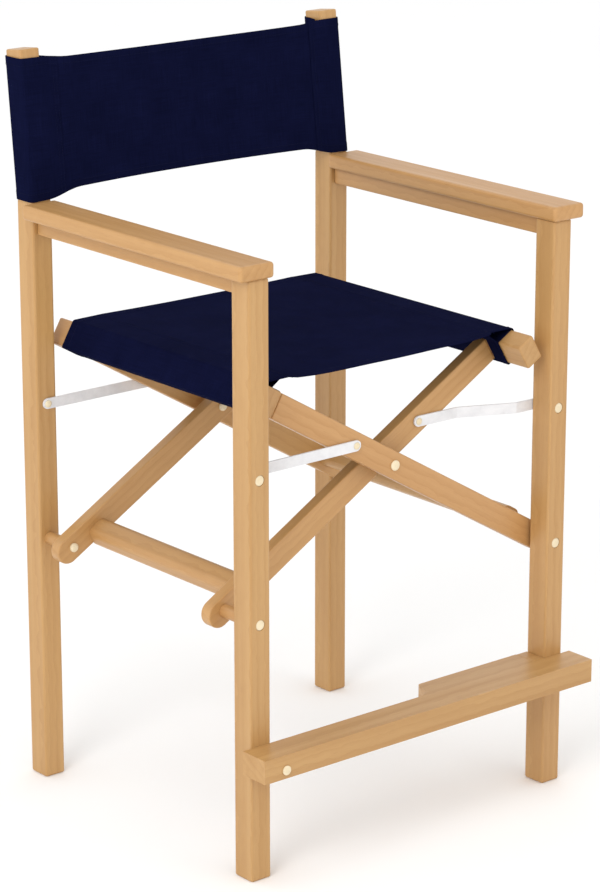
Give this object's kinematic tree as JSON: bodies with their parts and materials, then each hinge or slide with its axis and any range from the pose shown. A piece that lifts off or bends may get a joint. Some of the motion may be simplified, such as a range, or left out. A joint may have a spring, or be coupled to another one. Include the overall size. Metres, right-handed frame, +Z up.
{
  "type": "folding director chair",
  "caption": "Tall folding director chair: wooden scissor frame with armrests, canvas seat and back, metal links and a swing-up wooden footrest.",
  "frame": {"origin": "floor level, under the middle of the outline in plan", "axes": "+Z up, -Y the sitter's front (footrest side), +X to the right as seen from the front"},
  "size_m": [0.661, 0.6393, 1.1557],
  "materials": {
    "frame_wood": "honey-coloured hardwood, satin lacquer",
    "bar_wood": "honey-coloured hardwood, satin lacquer",
    "spacer_wood": "turned hardwood spacer",
    "steel_washer": "plain steel",
    "pale_metal_strip": "white powder-coated flat bar",
    "bolt_cap": "pale cream bolt heads and rivets",
    "navy_canvas": "plain-woven navy canvas"
  },
  "bodies": {
    "left_side": {"arm_rail_left": "frame_wood", "armrest_left": "frame_wood", "leg_front_left": "frame_wood", "leg_rear_left": "frame_wood", "link_bolt_front_left": "bolt_cap", "link_bolt_rear_left": "bolt_cap", "pivot_bolt_front_left": "bolt_cap", "pivot_bolt_rear_left": "bolt_cap", "pivot_spacer_front_left": "spacer_wood", "pivot_spacer_rear_left": "spacer_wood", "footrest_bolt": "bolt_cap", "back_canvas": "navy_canvas"},
    "right_side": {"arm_rail_right": "frame_wood", "armrest_right": "frame_wood", "leg_front_right": "frame_wood", "leg_rear_right": "frame_wood", "link_bolt_front_right": "bolt_cap", "link_bolt_rear_right": "bolt_cap", "pivot_bolt_front_right": "bolt_cap", "pivot_bolt_rear_right": "bolt_cap", "pivot_spacer_front_right": "steel_washer", "pivot_spacer_rear_right": "steel_washer", "footrest_rest": "frame_wood"},
    "b_frame": {"bar_b_front": "bar_wood", "bar_b_rear": "bar_wood", "seat_rail_right": "bar_wood", "stretcher_left": "bar_wood", "crossing_spacer_front": "spacer_wood", "crossing_spacer_rear": "spacer_wood", "link_rivet_front_right": "bolt_cap", "link_rivet_rear_right": "bolt_cap"},
    "a_frame": {"bar_a_front": "bar_wood", "bar_a_rear": "bar_wood", "seat_rail_left": "bar_wood", "stretcher_right": "bar_wood", "crossing_bolt_front": "bolt_cap", "crossing_bolt_rear": "bolt_cap", "link_rivet_front_left": "bolt_cap", "link_rivet_rear_left": "bolt_cap", "seat_canvas": "navy_canvas"},
    "link_fl": {"link_front_left": "pale_metal_strip", "link_nut_front_left": "bolt_cap"},
    "link_rl": {"link_rear_left": "pale_metal_strip", "link_nut_rear_left": "bolt_cap"},
    "link_fr": {"link_front_right": "pale_metal_strip", "link_nut_front_right": "bolt_cap"},
    "link_rr": {"link_rear_right": "pale_metal_strip", "link_nut_rear_right": "bolt_cap"},
    "footrest": {"footrest_board": "frame_wood"}
  },
  "joints": [
    {"name": "fold", "type": "hinge", "parent": "left_side", "child": "b_frame", "pos_m": [-0.2925, 0.0149, 0.396], "axis": [0, -1, 0], "range_deg": [0, 32.85], "deforming": ["back_canvas"]},
    {"name": "crossing", "type": "hinge", "parent": "b_frame", "child": "a_frame", "pos_m": [0, 0.0149, 0.568], "axis": [0, -1, 0], "range_deg": [-71.3, 0], "deforming": ["seat_canvas"]},
    {"name": "right_pivot", "type": "hinge", "parent": "a_frame", "child": "right_side", "pos_m": [0.2925, 0.0149, 0.396], "axis": [0, -1, 0], "range_deg": [0, 33.15]},
    {"name": "link_front_left_hinge", "type": "hinge", "parent": "a_frame", "child": "link_fl", "pos_m": [-0.07758, -0.2229, 0.61362], "axis": [0, -1, 0], "range_deg": [0, 93.09]},
    {"name": "link_rear_left_hinge", "type": "hinge", "parent": "a_frame", "child": "link_rl", "pos_m": [-0.07758, 0.2527, 0.61362], "axis": [0, -1, 0], "range_deg": [0, 93.09]},
    {"name": "link_front_right_hinge", "type": "hinge", "parent": "b_frame", "child": "link_fr", "pos_m": [0.07758, -0.1849, 0.61362], "axis": [0, -1, 0], "range_deg": [-93.09, 0]},
    {"name": "link_rear_right_hinge", "type": "hinge", "parent": "b_frame", "child": "link_rr", "pos_m": [0.07758, 0.2147, 0.61362], "axis": [0, -1, 0], "range_deg": [-93.09, 0]},
    {"name": "footrest_swing", "type": "hinge", "parent": "left_side", "child": "footrest", "pos_m": [-0.287, -0.2911, 0.188], "axis": [0, -1, 0], "range_deg": [0, 80.3]}
  ],
  "couplings": [
    {"joint": "crossing", "follows": "fold", "ratio": -2.1612},
    {"joint": "right_pivot", "follows": "fold", "ratio": 1},
    {"joint": "link_front_left_hinge", "follows": "fold", "ratio": 2.8248},
    {"joint": "link_rear_left_hinge", "follows": "fold", "ratio": 2.8248},
    {"joint": "link_front_right_hinge", "follows": "fold", "ratio": -2.8248},
    {"joint": "link_rear_right_hinge", "follows": "fold", "ratio": -2.8248},
    {"joint": "footrest_swing", "follows": "fold", "ratio": 2.4352}
  ]
}
